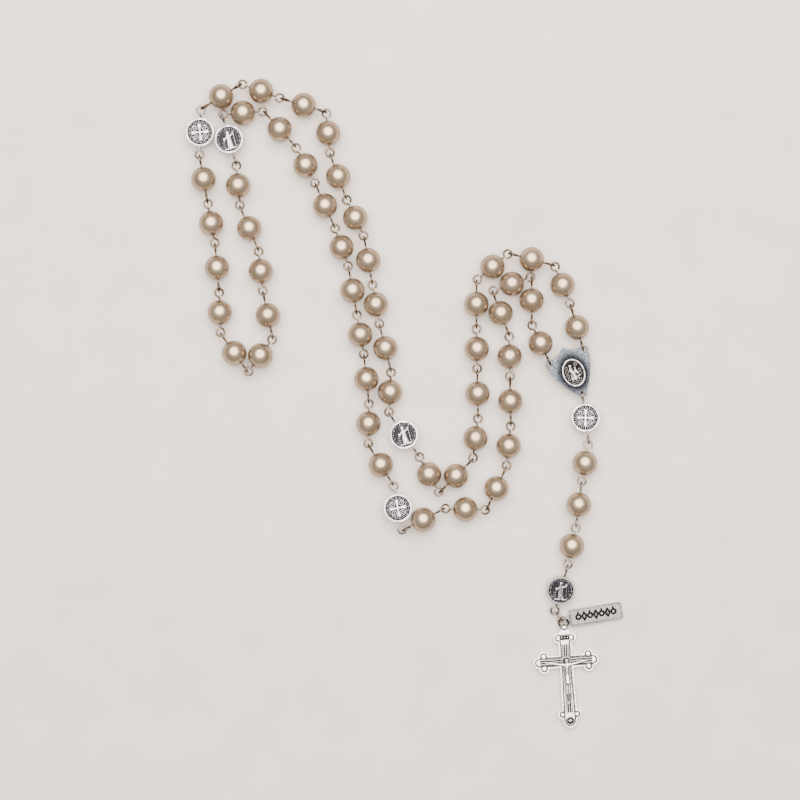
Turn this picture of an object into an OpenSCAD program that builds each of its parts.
// Five-decade pearl rosary, laid out on a table as a long folded loop with its pendant to one side.
// +X is to the right, +Y is away from the crucifix, +Z is up. The origin is under the middle of the layout.

/* [Beads] */
// Diameter of each pearl bead
pearl_d = 8; // [6.5:0.1:8.1]
// Diameter of each round medal bead
medal_d = 9; // [7.5:0.1:9.2]
// Thickness of a medal bead at its rim
medal_t = 2.2; // [1.8:0.1:3]
// Width of the raised rim of a medal bead
medal_rim_w = 0.5; // [0.3:0.05:0.8]
// Depth of the medal face below its rim
medal_sink = 0.3; // [0.15:0.05:0.4]

/* [Wire] */
// Diameter of the wire in the eye pins and rings
wire_d = 0.65; // [0.5:0.05:0.8]
// Outer diameter of the eye at each end of a pin
eye_d = 3.25; // [3.1:0.05:4]
// Bend radius where a pin turns into its eye
elbow_r = 0.5; // [0.45:0.05:0.7]
// Play between the wires of two linked eyes
link_gap = 0.25; // [0.15:0.05:0.35]
// Radial clearance of a pin in its bead
bore_gap = 0.08; // [0.02:0.01:0.1]
// Bare wire between a loop pearl and its eye
pearl_neck = 0.75; // [0.7:0.05:1.2]
// Bare wire between a loop medal and its eye
medal_neck = 1; // [0.7:0.05:1.4]
// Bare wire between a pendant bead and its eye
pendant_neck = 0.3; // [0.25:0.05:1]
// Straight wire between a pendant medal and its eye
pendant_medal_neck = 1; // [0.5:0.05:1.5]

/* [Centrepiece] */
// Distance between the two upper holes
shield_span = 11.6; // [10.5:0.1:14]
// Distance from the upper holes down to the lower hole
shield_drop = 12.3; // [11:0.1:16]
// Thickness of the centrepiece plate
shield_t = 1.2; // [1:0.1:1.3]
// Diameter of the three link holes
shield_hole_d = 1.7; // [1.5:0.05:1.9]
// Metal left round each link hole
shield_wall = 0.8; // [0.6:0.05:0.9]
// Radius of the bulging sides
shield_side_r = 25; // [22:0.5:40]
// Radius of the two scoops in the top edge
scoop_r = 5.2; // [4.8:0.1:6]
// Width of the oval medallion
oval_w = 7.2; // [6:0.1:7.8]
// Height of the oval medallion
oval_h = 9.2; // [8:0.1:10]
// Width of the dark gutter round the medallion
oval_gutter = 0.5; // [0.3:0.05:0.7]
// Depth of the pocket that holds the medallion
oval_pocket = 0.5; // [0.3:0.05:0.7]
// Height of the medallion above the plate
oval_proud = 0.35; // [0.2:0.05:0.6]

/* [Rings and tag] */
// Outer diameter of the connector ring
connector_d = 4.2; // [4:0.1:5]
// Outer diameter of the crucifix ring
crucifix_ring_d = 3.75; // [3.6:0.05:4.2]
// Length of the tag's plate
tag_l = 17.2; // [12:0.1:22]
// Width of the tag's plate
tag_w = 5.4; // [4:0.1:6.5]
// Thickness of the tag's plate
tag_t = 1.2; // [1:0.1:1.6]
// Width of the tag's raised border
tag_border = 0.45; // [0.3:0.05:0.7]
// Depth of the tag's field below its border
tag_sink = 0.25; // [0.1:0.05:0.4]
// Diameter of the hole in the tag's lug
lug_hole_d = 1.6; // [1.5:0.05:1.7]
// Thickness of the tag's lug
lug_t = 0.6; // [0.5:0.05:0.65]

/* [Crucifix] */
// Distance from the bail's hole to the middle of the crossing
cross_head = 10.9; // [10.4:0.1:13]
// Distance from the crossing to the tip of the foot
cross_foot = 21.5; // [18:0.1:27]
// Distance from the crossing to the tip of each arm
cross_arm = 10.6; // [9.5:0.1:13]
// Width of the arms
arm_w = 4.1; // [3.6:0.1:4.6]
// Thickness of the crucifix plate
cross_t = 1.5; // [1.2:0.1:1.8]
// Height of the raised outline and inner cross above the plate
cross_relief = 0.4; // [0.2:0.05:0.6]
// Width of the raised outline
outline_w = 0.45; // [0.3:0.05:0.6]
// Width of the dark groove inside the outline
groove_w = 0.5; // [0.3:0.05:0.6]
// Diameter of the hole in the bail
bail_hole_d = 1.25; // [1.15:0.05:1.4]

/* [Hidden] */
$fn = 48;

PEARL = "#c8b092";
BRONZE = "#6b5c4a";
SILVER = "#c9c6c0";
STEEL = "#8f949c";

// Directions in degrees that each link of the two strands points in, counted from the centrepiece outwards.
// Links 11 and 22 are medals. The last link of each strand is worked out, so that the two strands meet.
right_headings = [
  106, 112, 165, 220, 270, 271, 271, 263, 225, 119, 125, 87, 104,
  100, 100, 115, 110, 95, 163, 160, 212, 268, 280, 280, 275, 272
];
left_headings = [
  115, 90, 200, 291, 271, 271, 264, 245, 178, 208, 101, 122, 89,
  96, 100, 100, 109, 114, 118, 132, 184, 286, 275, 293, 276, 282
];
MEDAL_LINKS = [11, 22];
shield_turn = 24;
shield_droop = 6;
pendant_headings = [277, 260, 263, 258, 255];
lower_medal_droop = 8;
connector_heading = 305;
crucifix_heading = 274;
tag_heading = 9;

wire_r = wire_d / 2;
eye_r = eye_d / 2 - wire_r;
axis_z = pearl_d / 2;
// Distance from the middle of an interlock to the wire of either eye
play = wire_r + link_gap / 2;
eye_reach = 2 * eye_r - link_gap / 2;
pearl_half = pearl_d / 2 + pearl_neck + eye_reach;
medal_half = medal_d / 2 + medal_neck + eye_reach;
pendant_pearl_half = pearl_d / 2 + pendant_neck + eye_reach;
pendant_medal_half = medal_d / 2 + pendant_medal_neck + eye_reach;
bore_r = wire_r + bore_gap;
// Overlap and extra radius that make the bend of a pin one solid with its shank and its eye
lap = 0.05;
swell = 0.01;
// Angle between the end of an eye's wire and the shank
eye_stop = 28;

function heading(a) = [cos(a), sin(a)];
function flat(p) = [p[0], p[1]];
function is_medal(i) = len([for (m = MEDAL_LINKS) if (m == i) m]) > 0;
function link_half(i) = is_medal(i) ? medal_half : pearl_half;
function bead_d(i) = is_medal(i) ? medal_d : pearl_d;

RIGHT = 0;
LEFT = 1;

// Whether a link's first and second eyes stand on edge. Eyes that interlock are at right angles, and both
// strands start on edge in the centrepiece, so the left strand's first pin is twisted.
function upright(strand, i) =
  strand == RIGHT ? [i % 2 == 1, i % 2 == 1] : [i == 1 || i % 2 == 0, i % 2 == 0];

// In plan the links turn about the upright wire of each interlock, which is the pivot
function reach(on_edge) = on_edge ? play : -play;
function link_length(strand, i) =
  2 * link_half(i) + reach(upright(strand, i)[0]) + reach(upright(strand, i)[1]);

// Pivots of a strand, from its first eye outwards
function walk(strand, start, turns) = [
  for (
    i = 0, p = start;
    i <= len(turns);
    p = i < len(turns) ? p + link_length(strand, i + 1) * heading(turns[i]) : p, i = i + 1
  ) p
];

// Where links of lengths reach_a and reach_b meet that hang from points a and b
function meeting(a, reach_a, b, reach_b) =
  let (
    d = norm(b - a),
    along = (b - a) / d,
    x = (d * d + reach_a * reach_a - reach_b * reach_b) / (2 * d)
  )
  a + x * along + sqrt(reach_a * reach_a - x * x) * [along[1], -along[0]];

// The layout is worked out with the middle of the centrepiece's upper holes at [0, 0]
right_hole = shield_span / 2 * heading(shield_turn);
right_open = walk(RIGHT, right_hole, right_headings);
left_open = walk(LEFT, -right_hole, left_headings);
last = len(right_open);
end_pivot = meeting(
  right_open[last - 1], link_length(RIGHT, last),
  left_open[last - 1], link_length(LEFT, last)
);
pivots = [concat(right_open, [end_pivot]), concat(left_open, [end_pivot])];

function link_aim(strand, i) =
  let (run = pivots[strand][i] - pivots[strand][i - 1])
  run / norm(run);
function link_middle(strand, i) =
  pivots[strand][i - 1] + (link_half(i) + reach(upright(strand, i)[0])) * link_aim(strand, i);

// Pendant: each link is [start, end] in three dimensions
function aim(a, lift) = [cos(a) * cos(lift), sin(a) * cos(lift), sin(lift)];
eye_inset = eye_r - play;
lower_hole_xy =
  ((shield_drop + eye_r) * cos(shield_droop) - eye_r) * heading(shield_turn - 90);
first_eye = concat(
  lower_hole_xy + eye_r * heading(pendant_headings[0]),
  [axis_z - (shield_drop + 2 * eye_r) * sin(shield_droop)]
);
upper_medal_lift = asin((axis_z - first_eye[2]) / (2 * pendant_medal_half - eye_inset));
upper_medal_aim = aim(pendant_headings[0], upper_medal_lift);
pendant_0 = first_eye - eye_inset * upper_medal_aim;
pendant_1 = pendant_0 + 2 * pendant_medal_half * upper_medal_aim;
pendant_2 = pendant_1 + 2 * pendant_pearl_half * aim(pendant_headings[1], 0);
pendant_3 = pendant_2 + 2 * pendant_pearl_half * aim(pendant_headings[2], 0);
pendant_4 = pendant_3 + 2 * pendant_pearl_half * aim(pendant_headings[3], 0);
lower_medal_aim = aim(pendant_headings[4], -lower_medal_droop);
pendant_5 = pendant_4 + 2 * pendant_medal_half * lower_medal_aim;

// Connector ring, on edge, through the lower medal's last eye
ring_gap = 0.1;
floor_gap = 0.05;
connector_r = connector_d / 2 - wire_r;
last_eye = pendant_5 - eye_inset * lower_medal_aim;
connector_inset = connector_r - wire_d - ring_gap;
connector_xy = flat(last_eye) + (eye_r + connector_inset) * heading(connector_heading);
connector_at = concat(connector_xy, [connector_d / 2 + floor_gap]);

// Crucifix ring, nearly flat, through the connector ring and the crucifix's bail
bail_z = 1.8;
crucifix_ring_r = crucifix_ring_d / 2 - wire_r;
crucifix_ring_inset = connector_r - wire_d - ring_gap + crucifix_ring_r;
crucifix_ring_top_z = connector_at[2] + 0.2;
crucifix_ring_turn = cos(connector_heading + 180 - crucifix_heading);
crucifix_ring_tilt = asin(
  (crucifix_ring_top_z - bail_z) / (crucifix_ring_r * (1 - crucifix_ring_turn))
);
crucifix_ring_at = concat(
  connector_xy + crucifix_ring_inset * heading(connector_heading),
  [bail_z + crucifix_ring_r * sin(crucifix_ring_tilt)]
);
bail_at = crucifix_ring_at + crucifix_ring_r * aim(crucifix_heading, -crucifix_ring_tilt);

// Tag, its lug under the crucifix ring and its far end on the table
lug_z = wire_d + 0.25;
lug_r = lug_hole_d / 2 + 0.6;
lug_to_plate = crucifix_ring_d / 2 + 0.85;
tag_corner_r = 0.6;
tag_tilt = asin((lug_z - floor_gap) / (lug_to_plate + tag_l));
lug_xy = connector_xy + (connector_r - 0.375) * heading(connector_heading);

// Crucifix, drawn with the bail's hole at [0, 0] and the foot along -Y
bail_r = bail_hole_d / 2 + 0.5;
bail_w = 1.1;
lobe_r = 1.6;
lobe_spread = 2;
tip_r = 1.8;
lobe_back = 3.4;
title_lobe_r = 1.55;
title_spread = 2.1;
title_y = 7.6;
foot_lobe_r = 1.5;
foot_spread = 2.35;
boss_r = 1.75;

// Outline of everything, which centres the layout on the origin
function foot_xy() =
  flat(bail_at) + (cross_head + cross_foot - boss_r - outline_w) * heading(crucifix_heading);
function tag_far(side) =
  lug_xy
  + (lug_to_plate + tag_l - tag_corner_r) * cos(tag_tilt) * heading(tag_heading)
  + side * (tag_w / 2 - tag_corner_r) * heading(tag_heading + 90);
spots = concat(
  [
    for (strand = [RIGHT, LEFT], i = [1 : last])
      concat(link_middle(strand, i), [bead_d(i) / 2])
  ],
  [concat(foot_xy(), [boss_r + outline_w])],
  [for (side = [-1, 1]) concat(tag_far(side), [tag_corner_r])]
);
low = [for (axis = [0, 1]) min([for (s = spots) s[axis] - s[2]])];
high = [for (axis = [0, 1]) max([for (s = spots) s[axis] + s[2]])];
home = -(low + high) / 2;

module centred() {
  translate([home[0], home[1], 0]) children();
}

// Places children at the middle of a link, with +X along it
module on_span(a, b) {
  run = b - a;
  centred()
    translate((a + b) / 2)
      rotate([0, -asin(run[2] / norm(run)), atan2(run[1], run[0])])
        children();
}

module on_link(strand, i) {
  at = link_middle(strand, i);
  aim = link_aim(strand, i);
  centred()
    translate([at[0], at[1], axis_z])
      rotate([0, 0, atan2(aim[1], aim[0])])
        children();
}

// Eye on the +X side of a shank, its bend included
module eye(centre_x) {
  lean = asin(elbow_r / (eye_r + elbow_r));
  bend_x = centre_x - (eye_r + elbow_r) * cos(lean);
  lap_angle = lap / eye_r * 180 / PI;
  translate([bend_x, elbow_r, 0])
    rotate([0, 0, -90])
      rotate_extrude(angle = 90 - lean)
        translate([elbow_r, 0])
          circle(r = wire_r + swell);
  translate([centre_x, 0, 0])
    rotate([0, 0, -180 + eye_stop])
      rotate_extrude(angle = 360 - eye_stop - lean + lap_angle)
        translate([eye_r, 0])
          circle(r = wire_r);
}

// Eye pin along X. A roll of 0 lays an eye flat and a roll of 90 stands it on edge.
module eye_pin(body, neck, first_roll, second_roll) {
  lean = asin(elbow_r / (eye_r + elbow_r));
  centre_x = body / 2 + neck + eye_d / 2;
  shank = centre_x - (eye_r + elbow_r) * cos(lean) + lap;
  rotate([0, 90, 0]) cylinder(r = wire_r, h = 2 * shank, center = true);
  rotate([second_roll, 0, 0]) eye(centre_x);
  rotate([0, 0, 180]) rotate([first_roll, 0, 0]) eye(centre_x);
}

module pearl() {
  color(PEARL)
    rotate([0, 90, 0])
      rotate_extrude()
        difference() {
          circle(d = pearl_d);
          translate([-pearl_d, -pearl_d]) square([pearl_d + bore_r, 2 * pearl_d]);
        }
}

module medal() {
  color(SILVER)
    difference() {
      cylinder(d = medal_d, h = medal_t, center = true);
      for (side = [0, 180])
        rotate([side, 0, 0])
          translate([0, 0, medal_t / 2 - medal_sink])
            cylinder(r = medal_d / 2 - medal_rim_w, h = medal_t);
      rotate([0, 90, 0]) cylinder(r = bore_r, h = 2 * medal_d, center = true);
    }
}

module ring(r) {
  color(SILVER)
    rotate_extrude()
      translate([r, 0])
        circle(r = wire_r);
}

module strand_pin(strand, i) {
  on_edge = upright(strand, i);
  color(BRONZE)
    on_link(strand, i)
      eye_pin(
        bead_d(i), is_medal(i) ? medal_neck : pearl_neck,
        on_edge[0] ? 90 : 0, on_edge[1] ? 90 : 0
      );
}

module pearls(right, left) {
  for (i = right) on_link(RIGHT, i) pearl();
  for (i = left) on_link(LEFT, i) pearl();
}

module pins(right, left) {
  for (i = right) strand_pin(RIGHT, i);
  for (i = left) strand_pin(LEFT, i);
}

module near_base_pearls() { pearls([1, 5], [1, 4]); }
module near_base_pins() { pins([1, 5], [1, 4]); }
module near_right_arch_pearls() { pearls([2, 3, 4], []); }
module near_right_arch_pins() { pins([2, 3, 4], []); }
module near_left_arch_pearls() { pearls([], [2, 3]); }
module near_left_arch_pins() { pins([], [2, 3]); }
module run_link_2_pearls() { pearls([6], [5]); }
module run_link_2_pins() { pins([6], [5]); }
module run_link_1_pearls() { pearls([7], [6]); }
module run_link_1_pins() { pins([7], [6]); }
module lower_run_pearls() { pearls([8, 12, 13], [7, 12, 13, 14]); }
module lower_run_pins() { pins([8, 12, 13], [7, 12, 13, 14]); }
module bottom_right_arch_pearls() { pearls([9, 10], []); }
module bottom_right_arch_pins() { pins([9, 10], []); }
module bottom_left_arch_pearls() { pearls([], [8, 9, 10]); }
module bottom_left_arch_pins() { pins([], [8, 9, 10]); }
module lower_right_medal() { on_link(RIGHT, 11) medal(); }
module lower_left_medal() { on_link(LEFT, 11) medal(); }
module lower_medal_pins() { pins([11], [11]); }
module slope_link_1_pearls() { pearls([14], [15]); }
module slope_link_1_pins() { pins([14], [15]); }
module slope_link_2_pearls() { pearls([15], [16]); }
module slope_link_2_pins() { pins([15], [16]); }
module upper_run_pearls() { pearls([16, 17, 18], [17, 18, 19]); }
module upper_run_pins() { pins([16, 17, 18], [17, 18, 19]); }
module top_right_arch_pearls() { pearls([19, 20, 21], []); }
module top_right_arch_pins() { pins([19, 20, 21], []); }
module top_left_arch_pearls() { pearls([], [20, 21]); }
module top_left_arch_pins() { pins([], [20, 21]); }
module upper_right_medal() { on_link(RIGHT, 22) medal(); }
module upper_left_medal() { on_link(LEFT, 22) medal(); }
module upper_medal_pins() { pins([22], [22]); }
module end_link_1_pearls() { pearls([23], [23]); }
module end_link_1_pins() { pins([23], [23]); }
module end_link_2_pearls() { pearls([24], [24]); }
module end_link_2_pins() { pins([24], [24]); }
module end_link_3_pearls() { pearls([25], [25]); }
module end_link_3_pins() { pins([25], [25]); }
module end_link_4_pearls() { pearls([26], [26]); }
module end_link_4_pins() { pins([26], [26]); }
module end_loop_pearls() { pearls([27], [27]); }
module end_loop_pins() { pins([27], [27]); }

module pendant_pin(a, b, body, neck, first_roll, second_roll) {
  color(SILVER) on_span(a, b) eye_pin(body, neck, first_roll, second_roll);
}

module pendant_upper_medal() { on_span(pendant_0, pendant_1) medal(); }
module pendant_upper_medal_pin() { pendant_pin(pendant_0, pendant_1, medal_d, pendant_medal_neck, 90, 90); }
module pendant_pearl_1() { on_span(pendant_1, pendant_2) pearl(); }
module pendant_pearl_1_pin() { pendant_pin(pendant_1, pendant_2, pearl_d, pendant_neck, 0, 0); }
module pendant_pearl_2() { on_span(pendant_2, pendant_3) pearl(); }
module pendant_pearl_2_pin() { pendant_pin(pendant_2, pendant_3, pearl_d, pendant_neck, 90, 90); }
module pendant_pearl_3() { on_span(pendant_3, pendant_4) pearl(); }
module pendant_pearl_3_pin() { pendant_pin(pendant_3, pendant_4, pearl_d, pendant_neck, 0, 0); }
module pendant_lower_medal() { on_span(pendant_4, pendant_5) medal(); }
module pendant_lower_medal_pin() { pendant_pin(pendant_4, pendant_5, medal_d, pendant_medal_neck, 90, 0); }

// Places children on the centrepiece: upper holes along X, lower hole along -Y, middle of the plate at z = 0.
// The plate droops about the line through its two upper eyes.
module on_shield() {
  centred()
    translate([0, 0, axis_z])
      rotate([0, 0, shield_turn])
        translate([0, eye_r, 0])
          rotate([shield_droop, 0, 0])
            translate([0, -eye_r, 0])
              children();
}

ear_r = shield_hole_d / 2 + shield_wall;
shield_half_w = shield_span / 2 + ear_r;
shield_tip = shield_drop + ear_r + 0.15;
oval_y = -shield_drop * 0.43;

// Middle of the side arc that runs from the ear's outer edge to the tip
function side_middle() =
  let (
    a = [shield_half_w, 0],
    b = [0, -shield_tip],
    chord = b - a,
    reach = sqrt(shield_side_r * shield_side_r - norm(chord) * norm(chord) / 4)
  )
  (a + b) / 2 + reach * [chord[1], -chord[0]] / norm(chord);

module shield_outline() {
  intersection() {
    translate(side_middle()) circle(r = shield_side_r, $fn = 180);
    mirror([1, 0]) translate(side_middle()) circle(r = shield_side_r, $fn = 180);
    translate([-shield_half_w, -shield_tip]) square([2 * shield_half_w, shield_tip]);
  }
  for (side = [-1, 1])
    translate([side * shield_span / 2, 0]) circle(r = ear_r);
  translate([0, -shield_drop]) circle(r = ear_r);
  difference() {
    translate([-shield_span / 2, -1]) square([shield_span, 1 + scoop_r]);
    for (side = [-1, 1])
      translate([side * (scoop_r - 0.8), scoop_r + 1.4]) circle(r = scoop_r, $fn = 96);
  }
}

module oval(grow) {
  polygon([
    for (k = [0 : 59])
      [(oval_w / 2 + grow) * cos(6 * k), (oval_h / 2 + grow) * sin(6 * k)]
  ]);
}

module centerpiece_shield() {
  color(STEEL)
    on_shield()
      difference() {
        linear_extrude(shield_t, center = true) shield_outline();
        for (p = [[-shield_span / 2, 0], [shield_span / 2, 0], [0, -shield_drop]])
          translate(p) cylinder(d = shield_hole_d, h = 2 * shield_t, center = true);
        translate([0, oval_y, shield_t / 2 - oval_pocket])
          linear_extrude(shield_t) oval(oval_gutter);
      }
}

module centerpiece_medallion() {
  color(SILVER)
    on_shield()
      translate([0, oval_y, shield_t / 2 - oval_pocket])
        difference() {
          linear_extrude(oval_pocket + oval_proud) oval(0);
          translate([0, 0, oval_pocket + oval_proud - 0.25]) linear_extrude(1) oval(-0.45);
        }
}

module connector_ring() {
  centred() translate(connector_at) rotate([90, 0, connector_heading]) ring(connector_r);
}

module crucifix_ring() {
  centred()
    translate(crucifix_ring_at)
      rotate([0, crucifix_ring_tilt, crucifix_heading])
        ring(crucifix_ring_r);
}

module tag_outline(inset) {
  x0 = lug_to_plate;
  for (x = [x0 + tag_corner_r, x0 + tag_l - tag_corner_r], side = [-1, 1])
    translate([x, side * (tag_w / 2 - tag_corner_r)]) circle(r = tag_corner_r - inset);
  translate([x0 + tag_corner_r, inset - tag_w / 2])
    square([tag_l - 2 * tag_corner_r, tag_w - 2 * inset]);
  translate([x0 + inset, tag_corner_r - tag_w / 2])
    square([tag_l - 2 * inset, tag_w - 2 * tag_corner_r]);
}

// The plate and its lug are drawn with the lug's hole at [0, 0] and their underside at z = 0
module tag() {
  neck_w = 1.6;
  color(STEEL)
    centred()
      translate([lug_xy[0], lug_xy[1], lug_z])
        rotate([0, tag_tilt, tag_heading])
          difference() {
            union() {
              linear_extrude(tag_t) tag_outline(0);
              cylinder(r = lug_r, h = lug_t);
              translate([0, -neck_w / 2, 0]) cube([lug_to_plate + 1, neck_w, lug_t]);
            }
            cylinder(d = lug_hole_d, h = 4 * lug_t, center = true);
            translate([0, 0, tag_t - tag_sink]) linear_extrude(1) tag_outline(tag_border);
          }
}

module on_crucifix() {
  centred()
    translate([bail_at[0], bail_at[1], 0])
      rotate([0, 0, crucifix_heading - 270])
        children();
}

// Outline of the cross, shrunk by the inset, with the crossing at [0, 0]
module cross_outline(inset) {
  half = arm_w / 2 - inset;
  foot_y = cross_foot - boss_r - outline_w;
  polygon([
    [-half - 0.15, title_y], [-half, 0], [-half - 0.35, -foot_y],
    [half + 0.35, -foot_y], [half, 0], [half + 0.15, title_y]
  ]);
  translate([-cross_arm + tip_r, -half]) square([2 * (cross_arm - tip_r), 2 * half]);
  for (side = [-1, 1]) {
    translate([side * (cross_arm - tip_r), 0]) circle(r = tip_r - inset);
    for (up = [-1, 1])
      translate([side * (cross_arm - lobe_back), up * lobe_spread]) circle(r = lobe_r - inset);
    translate([side * title_spread, title_y]) circle(r = title_lobe_r - inset);
    translate([side * foot_spread, 2.1 - foot_y]) circle(r = foot_lobe_r - inset);
  }
  translate([-title_spread, title_y - title_lobe_r + inset])
    square([2 * title_spread, 2 * (title_lobe_r - inset)]);
  translate([0, -foot_y]) circle(r = boss_r + outline_w - inset);
}

module crucifix() {
  foot_y = cross_foot - boss_r - outline_w;
  color(SILVER)
    on_crucifix() {
      translate([0, -cross_head, 0]) {
        linear_extrude(cross_t) cross_outline(0);
        difference() {
          linear_extrude(cross_t + cross_relief) cross_outline(0);
          linear_extrude(10, center = true) cross_outline(outline_w);
        }
        linear_extrude(cross_t + cross_relief / 2) cross_outline(outline_w + groove_w);
        translate([0, -foot_y, 0]) cylinder(r = boss_r - 0.35, h = cross_t + cross_relief);
      }
      bail();
    }
}

// Loop for the ring, on a flared foot that runs into the head of the cross
module bail() {
  top = -0.55;
  foot = title_y + title_lobe_r - cross_head - 0.3;
  difference() {
    union() {
      translate([0, 0, bail_z]) rotate([0, 90, 0]) cylinder(r = bail_r, h = bail_w, center = true);
      translate([0, 0, 0.3])
        linear_extrude(2.3)
          polygon([[-1.3, top], [1.3, top], [2.1, foot], [-2.1, foot]]);
    }
    translate([0, 0, bail_z])
      rotate([0, 90, 0]) cylinder(d = bail_hole_d, h = 3 * bail_w, center = true);
  }
}

// Relief figure, cut off flat where it lies on the inner cross
module corpus() {
  face_z = cross_t + cross_relief / 2;
  color(SILVER)
    on_crucifix()
      translate([0, -cross_head, face_z])
        intersection() {
          translate([-cross_arm, -cross_foot, 0]) cube([2 * cross_arm, 2 * cross_foot, 3]);
          union() {
            cylinder(r = 1.45, h = 0.3);
            translate([0, 0.1, 0.35]) sphere(r = 0.72);
            translate([0, -0.4, 0]) rotate([90, 0, 0]) cylinder(r1 = 1.05, r2 = 0.8, h = 3.6);
            translate([0, -3.8, 0]) rotate([90, 0, 0]) cylinder(r1 = 0.85, r2 = 1.2, h = 2.6);
            translate([0, -6.2, 0]) rotate([90, 0, 0]) cylinder(r1 = 1, r2 = 0.6, h = 7.6);
            for (side = [-1, 1])
              translate([side * 0.6, -1.1, 0.1])
                rotate([90, 0, side > 0 ? 100 : -100])
                  cylinder(r1 = 0.5, r2 = 0.35, h = 7);
          }
        }
}

centerpiece_shield();
centerpiece_medallion();
pendant_upper_medal();
pendant_upper_medal_pin();
pendant_pearl_1();
pendant_pearl_1_pin();
pendant_pearl_2();
pendant_pearl_2_pin();
pendant_pearl_3();
pendant_pearl_3_pin();
pendant_lower_medal();
pendant_lower_medal_pin();
connector_ring();
crucifix_ring();
tag();
crucifix();
corpus();
near_base_pearls();
near_base_pins();
near_right_arch_pearls();
near_right_arch_pins();
near_left_arch_pearls();
near_left_arch_pins();
run_link_1_pearls();
run_link_1_pins();
run_link_2_pearls();
run_link_2_pins();
lower_run_pearls();
lower_run_pins();
bottom_right_arch_pearls();
bottom_right_arch_pins();
bottom_left_arch_pearls();
bottom_left_arch_pins();
lower_right_medal();
lower_left_medal();
lower_medal_pins();
slope_link_1_pearls();
slope_link_1_pins();
slope_link_2_pearls();
slope_link_2_pins();
upper_run_pearls();
upper_run_pins();
top_right_arch_pearls();
top_right_arch_pins();
top_left_arch_pearls();
top_left_arch_pins();
upper_right_medal();
upper_left_medal();
upper_medal_pins();
end_link_1_pearls();
end_link_1_pins();
end_link_2_pearls();
end_link_2_pins();
end_link_3_pearls();
end_link_3_pins();
end_link_4_pearls();
end_link_4_pins();
end_loop_pearls();
end_loop_pins();
